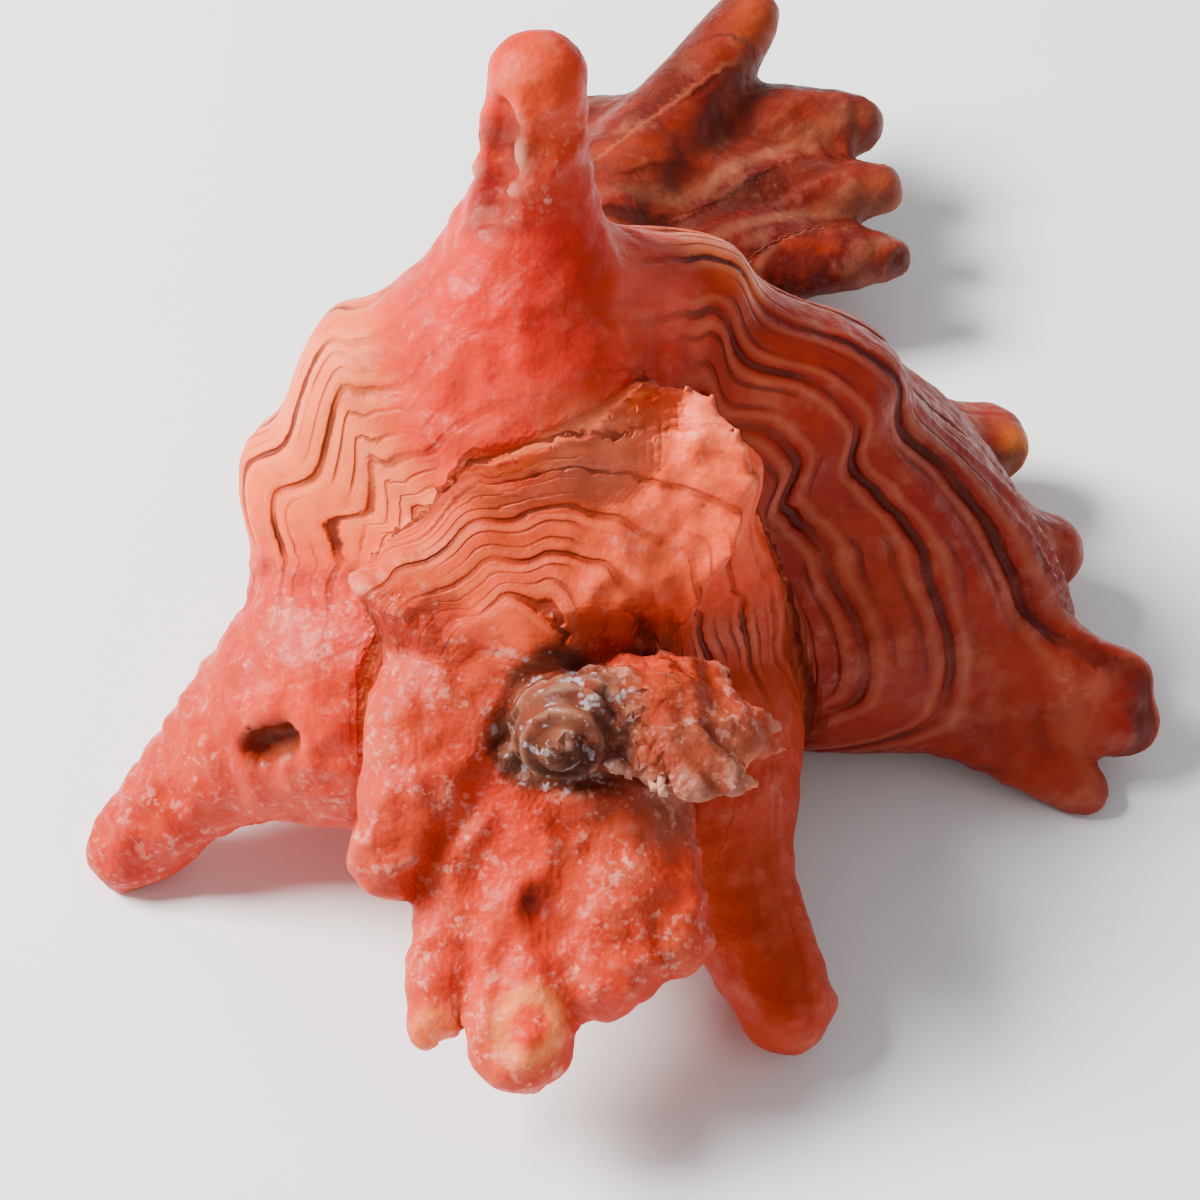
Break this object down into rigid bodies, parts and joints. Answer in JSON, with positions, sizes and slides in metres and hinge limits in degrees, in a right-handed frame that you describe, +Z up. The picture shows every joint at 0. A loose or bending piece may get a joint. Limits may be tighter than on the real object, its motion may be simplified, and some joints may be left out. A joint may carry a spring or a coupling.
{
  "type": "murex seashell",
  "caption": "Spiny dextral murex seashell with varices, open spines, a siphonal canal and an aperture on its underside, lying as it would on a table.",
  "frame": {"origin": "middle of the footprint's bounding box, on the surface the shell rests on", "axes": "+Z up; the siphonal canal points along +Y and the apex along -Y, raised by about 17 degrees; the outer lip's big spine points along +X"},
  "size_m": [0.0882, 0.1188, 0.0651],
  "materials": {
    "shell": "matte, slightly chalky"
  },
  "bodies": {
    "root": {"shell": "shell"}
  },
  "joints": []
}
